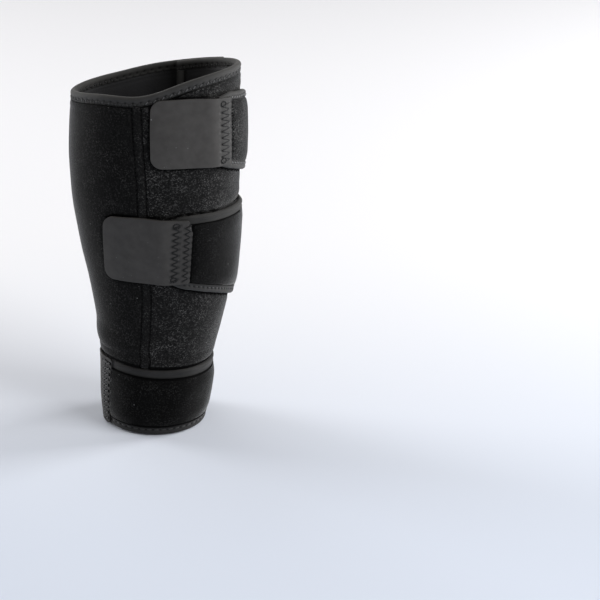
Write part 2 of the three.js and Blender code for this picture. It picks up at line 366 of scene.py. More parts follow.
def strap_turn(turn):
    """The turn, on a strap's winding, that lies over a turn of the sheet."""
    return np.where(turn < STRAP_ROOT_TURN, turn + 360, turn)


def hang(turn, height):
    """How far the panels stand out from the tube where they hang down to the lower strap."""
    start = HANG["height"]
    below = np.clip(start - height, 0, None)
    left = tube_left(height) - tube_left(start) - HANG["left_taper"] * below
    right = tube_right(start) - tube_right(height) - HANG["right_taper"] * below
    aside = np.cos(np.radians(INNER_END_ANGLE - turn))
    stands = np.clip((left + right) / 2 + (right - left) / 2 * aside, 0, None)
    _, high, _ = strap_edges(STRAPS["lower"])
    return stands * ease(height - high(strap_turn(turn)), *HANG["comes_away"]) * (below > 0)


def tab_groove_and_shade(turn, height):
    """1 along the tabs' edges, where they press a groove into the pile that is also painted dark as shadow,
    and 0 away from them.
    """
    pressed = np.zeros(np.broadcast(turn, height).shape)
    wound = turn + 360
    for strap in STRAPS.values():
        form = tab_form(strap)
        low, high = form["low"](wound), form["high"](wound)
        leant = wound + form["lean"](wound) * ((height - low) / (high - low) - 0.5)
        along = (leant - form["root"]) / form["per_mm"]
        past = along - (form["length"] - TAB_CORNER)
        beside = np.abs(height - (low + high) / 2) - ((high - low) / 2 - TAB_CORNER)
        outside = np.hypot(np.clip(past, 0, None), np.clip(beside, 0, None))
        away = outside + np.minimum(np.maximum(past, beside), 0) - TAB_CORNER
        on_panel = ease(along, form["leaves"], form["leaves"] + TAB_FALL / 2)
        pressed = np.maximum(pressed, on_panel * ridge(away, TAB_LINE["at"], TAB_LINE["spread"]))
    return pressed


def strap_presses(wound, end, fades):
    """1 where a strap that ends there presses on the panel, fading over some degrees past its end."""
    return ease(wound, STRAP_PRESSES_FROM, STRAP_PRESSES_BY) * (1 - ease(wound, end, end + fades))


def strap_edge_shadows(turn, height):
    """1 along the straps' edges and where the panel tucks into the lower strap, in shadow lines painted
    dark on the pile, and 0 away from them.
    """
    pressed = np.zeros(np.broadcast(turn, height).shape)
    wound = turn + 360
    for strap in STRAPS.values():
        low, high, end = strap_edges(strap)
        above = ridge(height - high(wound), *STRAP_LINES["above"]) * (strap["crease"] > DEEP_CREASE)
        below = ridge(low(wound) - height, *STRAP_LINES["below"])
        on_panel = strap_presses(wound, end, STRAP_LINES_FADE)
        pressed = np.maximum(pressed, on_panel * np.maximum(above, below))
    _, high, _ = strap_edges(STRAPS["lower"])
    from_tuck = np.abs(height - high(strap_turn(turn)) - TUCK["at"])
    return np.maximum(pressed, 1 - ease(from_tuck, TUCK["full"], TUCK["none"]))


def panel_face(turn, height):
    """Offset of the panels' outer face: creased along the straps' edges and swollen above them."""
    face = sheet_rise(turn) + hang(turn, height) - TAB_LINE["depth"] * tab_groove_and_shade(turn, height)
    wound = turn + 360
    for strap in STRAPS.values():
        low, high, end = strap_edges(strap)
        above = sum(share * ridge(height - high(wound), *place) for share, *place in CREASES_ABOVE)
        below = sum(share * ridge(low(wound) - height, *place) for share, *place in CREASES_BELOW)
        face = face - strap["crease"] * (above + below) * strap_presses(wound, end, CREASE_FADES)
    return face


# Materials

LINT_FADE, LINT_SHOWS = 0.06, 0.7  # how fast a fleck of lint comes up in its cloud, and how far
WAVE_RADIANS = 20  # in one unit of a wave texture
LOOSE_LOOPS = 4.2  # the higher, the fewer loops of the pile catch the light
LOOP_DRIFT = 0.8  # how far loops stray from an even pattern
BRUSHED = {"From Min": 0.35, "From Max": 0.65}  # the clouds of pile that is brushed up
LEAST_BRUSHED = 0.35


def linear(hex_colour):
    """An sRGB hex colour as linear red, green, blue and alpha."""
    parts = [int(hex_colour[i:i + 2], 16) / 255 for i in (1, 3, 5)]
    return (*(c / 12.92 if c <= 0.04045 else ((c + 0.055) / 1.055) ** 2.4 for c in parts), 1.0)


def add_node(material, kind, inputs=None, **settings):
    """One node. An input is a value, or a pair of another node and the name of its output."""
    tree = material.node_tree
    node = tree.nodes.new(kind)
    for name, value in settings.items():
        setattr(node, name, value)
    for name, value in (inputs or {}).items():
        socket = next(s for s in node.inputs if s.identifier == name)
        if isinstance(value, tuple) and isinstance(value[0], bpy.types.Node):
            output = next(s for s in value[0].outputs if s.identifier == value[1])
            tree.links.new(output, socket)
        else:
            socket.default_value = value
    return node


def new_material(name):
    """An empty material, with its texture coordinates."""
    material = bpy.data.materials.new(name)
    material.use_nodes = True
    material.node_tree.nodes.clear()
    return material, add_node(material, "ShaderNodeTexCoord")


def per_metre(size_mm):
    """The scale of a pattern whose features are that many millimetres across."""
    return 1 / (size_mm * MM)


def noise(material, coords, size_mm, detail):
    """Clouds of that size in millimetres, fixed to the piece."""
    return add_node(material, "ShaderNodeTexNoise",
                    {"Vector": (coords, "Object"), "Scale": per_metre(size_mm), "Detail": detail})


def mix_colours(material, factor, first, second):
    """A mix of two colours, each a hex colour or a node that gives one, by a node's output."""
    first, second = (linear(c) if isinstance(c, str) else (c, "Result_Color") for c in (first, second))
    return add_node(material, "ShaderNodeMix",
                    {"Factor_Float": factor, "A_Color": first, "B_Color": second}, data_type="RGBA")


def with_lint(material, coords, colour, size_mm, rare, fleck):
    """The colour with stray flecks of lint, where a cloud rises above a rare height."""
    lint = noise(material, coords, size_mm, detail=1.0)
    flecks = add_node(material, "ShaderNodeMapRange",
                      {"Value": (lint, "Fac"), "From Min": rare, "From Max": rare + LINT_FADE,
                       "To Max": LINT_SHOWS})
    return mix_colours(material, (flecks, "Result"), colour, fleck)


def paint_shade_in_hollows(material, colour, dark):
    """The colour, darkened by painted shade in needle holes, grooves, creases and the shadow lines along
    edges.
    """
    hollow = add_node(material, "ShaderNodeAttribute", attribute_name="hollow")
    return mix_colours(material, (hollow, "Fac"), colour, dark)


def raise_by(material, height, strength, depth_mm, **settings):
    """A bump by a node's output."""
    return add_node(material, "ShaderNodeBump",
                    {"Height": height, "Strength": strength, "Distance": depth_mm * MM}, **settings)


def finish_material(material, colour, bump, finish):
    """Gives a material its colour, its bump if it has one, and the shader's values in finish."""
    inputs = {"Base Color": (colour, "Result_Color"), **finish}
    if bump:
        inputs["Normal"] = (bump, "Normal")
    surface = add_node(material, "ShaderNodeBsdfPrincipled", inputs)
    add_node(material, "ShaderNodeOutputMaterial", {"Surface": (surface, "BSDF")})
    return material


def loop_pile(name, ground, hair, raised, glow):
    """Brushed nylon loop pile on neoprene: near black, with loose loops that catch the light as specks,
    a soft grey glow where it turns away and stray lint. Loops are 0.5 mm, and drawn at 0.7 mm so that
    they show."""
    material, coords = new_material(name)
    tangle = noise(material, coords, size_mm=2.5, detail=2.0)
    drift = add_node(material, "ShaderNodeVectorMath",
                     {"Vector": (tangle, "Color"), "Vector_001": (LOOP_DRIFT * MM,) * 3,
                      "Vector_002": (coords, "Object")}, operation="MULTIPLY_ADD")
    loops = add_node(material, "ShaderNodeTexVoronoi",
                     {"Vector": (drift, "Vector"), "Scale": per_metre(0.7)}, feature="F1")
    each = add_node(material, "ShaderNodeSeparateColor", {"Color": (loops, "Color")})
    specks = add_node(material, "ShaderNodeMath", {"Value": (each, "Red"), "Value_001": LOOSE_LOOPS},
                      operation="POWER")
    brushed = noise(material, coords, size_mm=11, detail=2.0)
    patches = add_node(material, "ShaderNodeMapRange",
                       {"Value": (brushed, "Fac"), **BRUSHED,
                        "To Min": LEAST_BRUSHED * raised, "To Max": raised})
    shown = add_node(material, "ShaderNodeMath",
                     {"Value": (specks, "Value"), "Value_001": (patches, "Result")},
                     operation="MULTIPLY")
    pile = mix_colours(material, (shown, "Value"), ground, hair)
    linted = with_lint(material, coords, pile, size_mm=2.6, rare=0.78, fleck="#90908e")
    # painted shade: near black in needle holes, grooves, creases and shadow lines
    colour = paint_shade_in_hollows(material, linted, "#030303")
    bump = raise_by(material, (loops, "Distance"), strength=0.6 * raised, depth_mm=0.5, invert=True)
    return finish_material(material, colour, bump,
                           {"Roughness": 0.95, "Specular IOR Level": 0.1, "Sheen Weight": glow,
                            "Sheen Roughness": 0.285, "Sheen Tint": linear("#d8d8d8")})


def painted_shade_cloth(name):
    """Painted shade for pile or tape in creases, grooves, needle holes and shadow lines: black, with no
    loose loops and no glow.
    Its matted yarns of 0.5 mm are drawn at 0.9 mm so that they show."""
    material, coords = new_material(name)
    matted = noise(material, coords, size_mm=0.9, detail=2.0)
    colour = mix_colours(material, (matted, "Fac"), "#020202", "#0a0a0a")
    bump = raise_by(material, (matted, "Fac"), strength=0.3, depth_mm=0.3)
    return finish_material(material, colour, bump, {"Roughness": 0.95, "Specular IOR Level": 0.05})


def jersey_lining():
    """Nylon jersey on the neoprene's inner face: fine knit, smoother and a little shinier than pile.
    The knit's 0.4 mm stitches are drawn at 1.2 mm so that they show."""
    material, coords = new_material("jersey_lining")
    knit = add_node(material, "ShaderNodeTexVoronoi",
                    {"Vector": (coords, "Object"), "Scale": per_metre(1.2)}, feature="F1")
    blotches = noise(material, coords, size_mm=22, detail=2.0)
    colour = mix_colours(material, (blotches, "Fac"), "#161617", "#2a2a2c")
    bump = raise_by(material, (knit, "Distance"), strength=0.35, depth_mm=0.4)
    return finish_material(material, colour, bump,
                           {"Roughness": 0.7, "Specular IOR Level": 0.3, "Sheen Weight": 0.1})


def ribs(material, coords, radian_mm, direction, **inputs):
    """Soft ribs across the piece's flat cut: waves with that many millimetres to a radian."""
    return add_node(material, "ShaderNodeTexWave",
                    {"Vector": (coords, "UV"), "Scale": per_metre(radian_mm) / WAVE_RADIANS, **inputs},
                    wave_type="BANDS", bands_direction=direction)


def binding_tape(name, dark_tone, light_tone):
    """Knitted nylon binding: dark grey, with close ribs along it and a soft sheen; its needle holes and the
    line at its free edge are painted dark as shade.
    Its 0.5 mm ribs are too fine to show, and are drawn as soft ones of 5.7 mm under a yarn of 1.1 mm."""
    material, coords = new_material(name)
    along = ribs(material, coords, radian_mm=0.9, direction="Y", Distortion=0.6, Detail=1.0)
    yarn = noise(material, coords, size_mm=1.1, detail=3.0)
    worn = noise(material, coords, size_mm=12, detail=2.0)
    tone = mix_colours(material, (worn, "Fac"), dark_tone, light_tone)
    # painted shade: near black in needle holes and in the shadow line at the tape's free edge
    colour = paint_shade_in_hollows(material, tone, "#060606")
    weave = add_node(material, "ShaderNodeMath",
                     {"Value": (along, "Fac"), "Value_001": (yarn, "Fac")}, operation="ADD")
    bump = raise_by(material, (weave, "Value"), strength=0.3, depth_mm=0.35)
    return finish_material(material, colour, bump,
                           {"Roughness": 0.8, "Specular IOR Level": 0.25, "Sheen Weight": 0.12,
                            "Sheen Roughness": 0.4, "Sheen Tint": linear("#d9d8d6")})


def hook_tape_back(name, dark_tone, light_tone):
    """Back of woven nylon hook tape: flat charcoal with a satin face, a faint weave and stray lint, and
    painted shade on its sewn strip and in its needle holes.
    Its 0.4 mm weave is too fine to show, and is drawn as a soft check of 5 mm."""
    material, coords = new_material(name)
    warp, weft = (ribs(material, coords, radian_mm=0.8, direction=axis) for axis in "XY")
    weave = add_node(material, "ShaderNodeMath", {"Value": (warp, "Fac"), "Value_001": (weft, "Fac")},
                     operation="MULTIPLY")
    blotches = noise(material, coords, size_mm=6, detail=4.0)
    tone = mix_colours(material, (blotches, "Fac"), dark_tone, light_tone)
    linted = with_lint(material, coords, tone, size_mm=2.2, rare=0.77, fleck="#8a8a8a")
    # painted shade: near black in needle holes and on the sewn strip
    colour = paint_shade_in_hollows(material, linted, "#070707")
    bump = raise_by(material, (weave, "Value"), strength=0.12, depth_mm=0.2)
    return finish_material(material, colour, bump, {"Roughness": 0.62, "Specular IOR Level": 0.3})


def sewing_thread(name, dark, light, gloss=0.35):
    """Twisted polyester thread, a touch shinier than the cloth that it lies on unless it is sunk in it."""
    material, coords = new_material(name)
    twist = noise(material, coords, size_mm=0.8, detail=2.0)
    colour = mix_colours(material, (twist, "Fac"), dark, light)
    return finish_material(material, colour, None, {"Roughness": 0.55, "Specular IOR Level": gloss})


PILE = loop_pile("loop_pile_brushed", "#111111", "#5e5d5c", raised=0.8, glow=0.66)
FLAT_PILE = loop_pile("loop_pile_flat", "#0d0d0d", "#525150", raised=0.4, glow=0.72)
SEAM_PILE = loop_pile("loop_pile_seam", "#111111", "#5a5958", raised=0.5, glow=0.6)
# Lighter, fuzzier copy of the strap pile: its lighter colours are painted light on the upper strap
LIT_UPPER_STRAP_PILE = loop_pile("loop_pile_upper_strap", "#0e0e0e", "#666564", raised=0.8, glow=0.34)
STRAP_PILE = loop_pile("loop_pile_strap", "#030303", "#383837", raised=0.5, glow=1.0)
# Black copies with no glow, for painted shade in creases, grooves, needle holes and shadow lines
PAINTED_SHADE_PILE = painted_shade_cloth("loop_pile_pressed")
PAINTED_SHADE_TAPE = painted_shade_cloth("hook_tape_pressed")
LINING = jersey_lining()
BINDING = binding_tape("binding_tape", "#2d2d2c", "#403f3e")
# Darker copies of the binding tape: painted shade on the middle strap's upper binding and on the lower
# strap's bindings
SHADED_MIDDLE_BINDING = binding_tape("binding_tape_middle", "#20201f", "#2e2d2c")
SHADED_LOWER_BINDING = binding_tape("binding_tape_lower", "#212120", "#2e2d2d")
HOOK_TAPE = hook_tape_back("hook_tape_back", "#302e2c", "#444240")
# Lighter copy of the hook tape: painted light on the upper tab
LIT_UPPER_HOOK_TAPE = hook_tape_back("hook_tape_back_upper", "#353331", "#4a4846")
THREAD = sewing_thread("sewing_thread", "#3a3a3a", "#646464")
DULL_THREAD = sewing_thread("dull_thread", "#222222", "#3a3a3a")
TICK_THREAD = sewing_thread("tick_thread", "#585858", "#888888")
TAB_THREAD = sewing_thread("tab_thread", "#171717", "#2a2a2a", gloss=0.12)
SEAM_THREAD = sewing_thread("seam_thread", "#070707", "#161616", gloss=0.08)


# Making cloth

SHARP_ANGLE = math.radians(50)  # edges sharper than this are rounded, or shaded apart
PAINTED_SHADE_FROM = 0.5  # faces with more painted shade than this turn to the black painted-shade material
SQUEEZE_ENDS = (-0.4, 1.8)  # a tape's squeeze lets go between these distances past its free edge
PAST_TAPE = {"rise": 0.3, "at": 3.0, "spread": 1.6}  # the swelling past a tape's free edge
# spread of the shadow line painted at a tape's free edge
EDGE_LINE_SPREAD = 0.75
FINE_LENGTH, FINE_CELL = 14.0, 0.8  # cells are this fine over this length at a panel's ends


def face_outwards(piece):
    bpy.ops.object.select_all(action="DESELECT")
    piece.select_set(True)
    bpy.context.view_layer.objects.active = piece
    bpy.ops.object.mode_set(mode="EDIT")
    bpy.ops.mesh.select_all(action="SELECT")
    bpy.ops.mesh.normals_make_consistent(inside=False)
    bpy.ops.object.mode_set(mode="OBJECT")


def cut_and_wind(name, along, across, lay, materials):
    """A flat grid, with a column for each place along and a row for each across, wound into the tube.

    lay(along, across) gives each point's turn, height, offset, place along and across the flat cut,
    painted shade (0 on the open face to 1 in a needle hole, groove or shadow line) and fullness (0 where it
    is squeezed to 1).
    """
    bpy.ops.object.select_all(action="DESELECT")
    bpy.ops.mesh.primitive_grid_add(x_subdivisions=len(along) - 1, y_subdivisions=len(across) - 1, size=1)
    cloth = bpy.context.object
    cloth.name = name
    mesh = cloth.data
    mesh.name = name
    corners = np.empty(len(mesh.vertices) * 3)
    mesh.vertices.foreach_get("co", corners)
    grid = corners.reshape(-1, 3)
    column = np.rint((grid[:, 0] + 0.5) * (len(along) - 1)).astype(int)
    row = np.rint((grid[:, 1] + 0.5) * (len(across) - 1)).astype(int)
    laid = lay(np.asarray(along)[column], np.asarray(across)[row])
    points = on_tube(laid["turn"], laid["height"], laid["offset"])
    mesh.vertices.foreach_set("co", points.ravel())

    flat = np.stack(np.broadcast_arrays(laid["flat_along"], laid["flat_across"]), axis=-1) * MM
    loop_vertex = np.empty(len(mesh.loops), int)
    mesh.loops.foreach_get("vertex_index", loop_vertex)
    mesh.uv_layers[0].data.foreach_set("uv", flat[loop_vertex].ravel())

    hollow = mesh.attributes.new("hollow", "FLOAT", "POINT")
    hollow.data.foreach_set("value", np.broadcast_to(laid.get("hollow", 0.0), len(grid)).astype(np.float32))
    full = cloth.vertex_groups.new(name="full")
    for index, weight in enumerate(np.broadcast_to(laid.get("full", 1.0), len(grid))):
        full.add([index], float(weight), "REPLACE")
    for material in materials:
        mesh.materials.append(material)
    return cloth


def thicken(cloth, thickness, squeezed=None, round_edge=0.0):
    """Gives cut cloth its thickness about its middle, less where it is squeezed, and rounds its edges."""
    bpy.context.view_layer.objects.active = cloth
    solid = cloth.modifiers.new("thickness", "SOLIDIFY")
    solid.thickness = thickness * MM
    solid.offset = 0
    solid.use_even_offset = True
    solid.vertex_group = "full"
    solid.thickness_vertex_group = (squeezed or thickness) / thickness
    solid.material_offset = len(cloth.data.materials) - 1
    bpy.ops.object.modifier_apply(modifier=solid.name)
    if round_edge:
        bevel = cloth.modifiers.new("edge", "BEVEL")
        bevel.width = round_edge * MM
        bevel.segments = 2
        bevel.limit_method = "ANGLE"
        bevel.angle_limit = SHARP_ANGLE
        bpy.ops.object.modifier_apply(modifier=bevel.name)
    cloth.vertex_groups.clear()
    face_outwards(cloth)
    bpy.ops.object.shade_smooth_by_angle(angle=SHARP_ANGLE)
    return cloth


def paint_shade_faces(cloth, pressed):
    """Gives the outer faces with the most painted shade a black material with no glow, as painted shade."""
    mesh = cloth.data
    mesh.materials.append(pressed)
    hollow = np.empty(len(mesh.vertices))
    mesh.attributes["hollow"].data.foreach_get("value", hollow)
    for face in mesh.polygons:
        if face.material_index == 0 and hollow[list(face.vertices)].mean() > PAINTED_SHADE_FROM:
            face.material_index = len(mesh.materials) - 1
    return cloth


def steps(start, end, size):
    """Even places from start to end, about that size apart."""
    return np.linspace(start, end, max(2, round(abs(end - start) / size)) + 1)


def squeeze_near(distance, width):
    """1 under a tape of that width at an edge, and 0 a little way past it."""
    return 1 - ease(distance - width, *SQUEEZE_ENDS)


def swell_past(distance, width):
    """Neoprene that a tape squeezes swells a little just past it."""
    return PAST_TAPE["rise"] * ridge(distance - width, PAST_TAPE["at"], PAST_TAPE["spread"])


def edge_shadow_line(distance, width):
    """1 in the shadow line painted dark at the free edge of a tape of that width, and 0 away from it."""
    return ridge(distance, width, EDGE_LINE_SPREAD)


def fine_at_ends(length, cell):
    """Shares of a length, a cell apart, and closer together near both of its ends."""
    far = length - FINE_LENGTH
    places = [
        steps(0, FINE_LENGTH, FINE_CELL)[:-1],
        steps(FINE_LENGTH, far, cell),
        steps(far, length, FINE_CELL)[1:],
    ]
    return np.concatenate(places) / length


# Panels

PANEL_CELL = 1.5
TUCK_BELOW, TUCK_ABOVE, TUCK_CELL = 16, 4, 0.55  # finer rows where the panels start to hang
WIDEST_RADIUS = 62.0
SEAM_PITCH = 3.2
# how dark the seam's stitch lines are painted as shade: on the whole, more at the holes, and their spread
SEAM_SHADE = {"mean": 0.8, "at_holes": 0.2, "spread": 0.8}


def seam_groove_shade(across, height):
    """The two lines where the seam's stitches pull the pile down, painted dark as shade in their grooves,
    most at the needle holes; 0 elsewhere.
    """
    pulled = SEAM_SHADE["mean"] + SEAM_SHADE["at_holes"] * np.cos(2 * math.pi * height / SEAM_PITCH)
    return pulled * ridge(np.abs(across), SEAM_WIDTH / 2, SEAM_SHADE["spread"])


# The panels' sides: the turn of each at a height, how far short of it the cloth ends, and how much of the
# cloth its tape covers
SIDES = {
    "inner_end": {"turn": lambda height: 0.0 * height, "lip": LIP, "tape": RIM_BINDING},
    "seam": {"turn": seam_turn, "lip": 0.15, "tape": SEAM_WIDTH / 2 - 0.4},
    "outer_end": {"turn": lambda height: SHEET_TURN + 0.0 * height, "lip": LIP, "tape": RIM_BINDING},
}


def panel(name, start, end, pile):
    """One panel of the sheet, squeezed along its bound edges and along the seam."""
    start, end = SIDES[start], SIDES[end]
    top_start, top_end = (float(side["turn"](RIM["middle"])) for side in (start, end))
    width = math.radians(top_end - top_start) * WIDEST_RADIUS

    def lay(share, rise):
        near = top_end + (top_start - top_end) * share
        height = LIP + (rim_height(near) - 2 * LIP) * rise
        first = end["turn"](height) - turn_of(end["lip"], height)
        last = start["turn"](height) + turn_of(start["lip"], height)
        turn = first + (last - first) * share
        arc = np.radians(1) * tube_radius(height)
        edges = [
            (height, RIM_BINDING),
            (rim_height(turn) - height, RIM_BINDING),
            ((turn - start["turn"](height)) * arc, start["tape"]),
            ((end["turn"](height) - turn) * arc, end["tape"]),
        ]
        squeezed = np.max([squeeze_near(*edge) for edge in edges], axis=0)
        swollen = np.max([swell_past(*edge) for edge in edges], axis=0)
        return {
            "turn": turn,
            "height": height,
            "offset": panel_face(turn, height) - NEOPRENE / 2 + swollen,
            "flat_along": (turn - top_start) * math.radians(1) * WIDEST_RADIUS,
            "flat_across": height,
            # painted shade: the seam's stitch lines, and shadow lines along the tabs, the straps and the
            # rim binding
            "hollow": np.max(
                [
                    seam_groove_shade((seam_turn(height) - turn) * arc, height),
                    tab_groove_and_shade(turn, height),
                    strap_edge_shadows(turn, height),
                    edge_shadow_line(rim_height(turn) - height, RIM_BINDING),
                ],
                axis=0,
            ),
            "full": 1 - squeezed,
        }

    along, across = fine_at_ends(width, PANEL_CELL), fine_at_ends(RIM["middle"], PANEL_CELL)
    tucked = steps(HANG["height"] - TUCK_BELOW, HANG["height"] + TUCK_ABOVE, TUCK_CELL) / RIM["middle"]
    clear = (across < tucked[0]) | (across > tucked[-1])
    across = np.sort(np.concatenate([across[clear], tucked]))
    cloth = cut_and_wind(f"{name}_cloth", along, across, lay, [pile, LINING])
    return paint_shade_faces(thicken(cloth, NEOPRENE, NEOPRENE - 2 * SQUEEZE), PAINTED_SHADE_PILE)


# Tapes

TAPE_CELL = 0.7  # fine enough for needle holes
PLAIN_TAPE_CELL = 1.2
TAPE_ROWS = 32
NEEDLE_HOLE = {"area": 0.8, "depth": 0.45}
PRESSED_ROLL = -0.25  # a roll that is pressed flat rises no further than this


def fold_profile(width, sheet_thickness, roll, rounded):
    """How far in a folded tape's middle layer lies, and how far above the sheet's outer face, at each
    share of the way from its outer free edge round the fold to its inner one."""
    inset = np.array(FOLD["inset"]) * width / RIM_BINDING
    fallen = rounded * ridge(inset, 0, FOLD_ROUND_REACH)
    rise = np.array(FOLD["rise"]) * roll - TAPE / 2 - fallen
    rise[-1] = -sheet_thickness / 2
    inset[-1] = TAPE / 2
    inset = np.concatenate([inset, inset[-2::-1]])
    rise = np.concatenate([rise, -sheet_thickness - rise[-2::-1]])
    run = np.concatenate([[0], np.cumsum(np.hypot(np.diff(inset), np.diff(rise)))])
    table = {"share": run / run[-1], "inset": inset, "rise": rise}
    return curve_through(table, "share", "inset"), curve_through(table, "share", "rise"), run[-1]


def face_rise(inset, width, roll=1.0):
    """How far above the sheet's outer face a folded tape's face is, at a distance in from the edge."""
    return roll * np.interp(inset * RIM_BINDING / width, FOLD["inset"][::-1], FOLD["rise"][::-1])


def needle_holes(along, inset, holes):
    """Hollows at the ends of stitches: holes lists each row's pitch, shift along and inset."""
    found = np.zeros(np.broadcast(along, inset).shape)
    for pitch, shift, row_inset in holes:
        away = (along - shift + pitch / 2) % pitch - pitch / 2
        found = np.maximum(found, np.exp(-(away ** 2 + (inset - row_inset) ** 2) / NEEDLE_HOLE["area"]))
    return found


def folded_tape(name, length, width, sheet_thickness, point_at, holes=(), flat_at=None, tape=None, roll=1.0,
                edge_shade=1.0, rounded=0.0):
    """A tape folded over an edge of the given length. point_at(along, inset) gives the turn, height
    and outer face of the sheet there, and flat_at(along) how far a tab over it presses its roll flat.
    edge_shade is how dark the shadow line painted at its free edge is, and rounded how far its fold falls
    away."""
    inset_at, rise_at, run = fold_profile(width, sheet_thickness, roll, rounded)

    def lay(along, share):
        inset, rise = inset_at(share), rise_at(share)
        if flat_at:
            rise = rise + (np.minimum(rise, PRESSED_ROLL) - rise) * flat_at(along)
        turn, height, face = point_at(along, inset)
        dent = needle_holes(along, inset, holes)
        inwards = np.where(share < 0.5, -NEEDLE_HOLE["depth"], NEEDLE_HOLE["depth"])
        return {
            "turn": turn,
            "height": height,
            "offset": face + rise + dent * inwards,
            "flat_along": along,
            "flat_across": share * run,
            # painted shade in needle holes and in the shadow line at the free edge
            "hollow": np.maximum(dent, edge_shade * edge_shadow_line(inset, width)),
        }

    along = steps(0, length, TAPE_CELL if holes else PLAIN_TAPE_CELL)
    cloth = cut_and_wind(name, along, np.linspace(0, 1, TAPE_ROWS + 1), lay, [tape or BINDING])
    return thicken(cloth, TAPE)


# Stitches

STITCH_SIDES = 6
STITCH_WIDTH, STITCH_THICKNESS, STITCH_GAP = 0.9, 0.7, 0.35
PLUMPEST = 1.5  # a stitch's ends are no more than this much fuller than a ball's


def sew(name, starts, ends, ups, width, thread):
    """Joined copies of one plump stitch, each lying from its start to its end with its back up."""
    bpy.ops.object.select_all(action="DESELECT")
    bpy.ops.mesh.primitive_uv_sphere_add(segments=STITCH_SIDES, ring_count=STITCH_SIDES, radius=0.5)
    model = bpy.context.object
    shape = np.array([v.co for v in model.data.vertices])
    faces = [list(p.vertices) for p in model.data.polygons]
    bpy.data.objects.remove(model)
    squared = (2 * shape[:, 2]) ** 2
    plump = np.sqrt(np.clip(1 - squared ** 2, 0, 1) / np.clip(1 - squared, 1e-6, 1))
    shape[:, :2] *= np.minimum(plump, PLUMPEST)[:, None]

    length = np.linalg.norm(ends - starts, axis=1, keepdims=True)
    along = (ends - starts) / length
    side = np.cross(ups, along)
    side /= np.linalg.norm(side, axis=1, keepdims=True)
    back = np.cross(along, side)
    points = ((starts + ends) / 2)[:, None, :] + (
        shape[None, :, 2:3] * (along * length)[:, None, :]
        + shape[None, :, 0:1] * (side * width * MM)[:, None, :]
        + shape[None, :, 1:2] * (back * STITCH_THICKNESS * MM)[:, None, :]
    )
    joined = [[v + i * len(shape) for v in face] for i in range(len(starts)) for face in faces]
    mesh = bpy.data.meshes.new(name)
    mesh.from_pydata(points.reshape(-1, 3).tolist(), [], joined)
    mesh.materials.append(thread)
    stitches = bpy.data.objects.new(name, mesh)
    bpy.context.scene.collection.objects.link(stitches)
    face_outwards(stitches)
    bpy.ops.object.shade_smooth()
    return stitches


def stitch_line(turns, heights, offsets, gap=STITCH_GAP, inwards=False):
    """Starts, ends and backs of stitches from point to point, shortened by a share for the needle holes."""
    points = on_tube(turns, heights, offsets)
    pull = (points[1:] - points[:-1]) * gap / 2
    ups = outward(turns, heights)[:-1] * (-1 if inwards else 1)
    return points[:-1] + pull, points[1:] - pull, ups


def gather_stitches(name, rows, width=STITCH_WIDTH, thread=None):
    """Several rows of stitches as one piece."""
    starts, ends, ups = (np.concatenate(part) for part in zip(*rows))
    return sew(name, starts, ends, ups, width, thread or THREAD)


# Keeping the pieces: each rides with the wrap and stands for its solid

def keep(piece, slot, *nodes):
    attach(piece, "root")
    if nodes:
        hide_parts(*nodes)
    return piece


# The sheet: panels, seam and bindings

front_panel = keep(panel("front_panel", "inner_end", "seam", PILE), "loop_pile", "front_panel")
calf_panel = keep(panel("calf_panel", "seam", "outer_end", FLAT_PILE), "loop_pile", "calf_panel")

SEAM_CELL = 1.5
SEAM_ROW = 0.125  # as a share of half the seam's width
SEAM_CROWN, SEAM_DROP = 0.30, 1.0
SEAM_UNDER = 0.5  # its ends lie this far under the rim bindings
SEAM_SUNK = 0.5  # and its stitches this far below the pile
SEAM_CLEAR = 1.0  # and end this far below the upper one
SEAM_STITCH_WIDTH = 0.7


def seam_tape():
    """The strip over the seam: crowned between its two stitch rows, which pull its edges down."""
    lowest = RIM_BINDING - SEAM_UNDER
    highest = float(rim_height(SEAM_TURN)) - RIM_BINDING + SEAM_UNDER

    def lay(height, side):
        across = side * SEAM_WIDTH / 2
        turn = seam_turn(height) - turn_of(across, height)
        crown = SEAM_CROWN - SEAM_DROP * np.abs(side) ** 4
        return {
            "turn": turn,
            "height": height,
            "offset": panel_face(turn, height) + crown - SEAM_TAPE / 2,
            "flat_along": height,
            "flat_across": across,
            # painted shade along the stitch lines
            "hollow": seam_groove_shade(across, height),
        }

    heights = steps(lowest, highest, SEAM_CELL)[::-1]
    cloth = cut_and_wind("seam_tape_cloth", heights, steps(-1, 1, SEAM_ROW), lay, [SEAM_PILE])
    return paint_shade_faces(thicken(cloth, SEAM_TAPE), PAINTED_SHADE_PILE)


def seam_stitches():
    highest = float(rim_height(SEAM_TURN)) - RIM_BINDING - SEAM_CLEAR
    heights = np.arange(3 * SEAM_PITCH, highest, SEAM_PITCH)
    rows = []
    for side in (-1, 1):
        turns = seam_turn(heights) - turn_of(side * SEAM_WIDTH / 2, heights)
        rows.append(stitch_line(turns, heights, panel_face(turns, heights) - SEAM_SUNK))
    return gather_stitches("seam_stitches", rows, width=SEAM_STITCH_WIDTH, thread=SEAM_THREAD)


seam = keep(seam_tape(), "loop_pile", "seam_tape")
seam_rows = keep(seam_stitches(), "loop_pile")

RIM_RADIUS = 60
RIM_LENGTH = math.radians(SHEET_TURN) * RIM_RADIUS
RIM_ZIG = 5.6  # pitch of the rim's zigzag
RIM_ZIG_INSETS = (3.9, 6.5)
RIM_HOLES = ((RIM_ZIG, 0.0, RIM_ZIG_INSETS[0]), (RIM_ZIG, RIM_ZIG / 2, RIM_ZIG_INSETS[1]))
END_UNDER = 0.3  # the end bindings go this far under the rims' ones


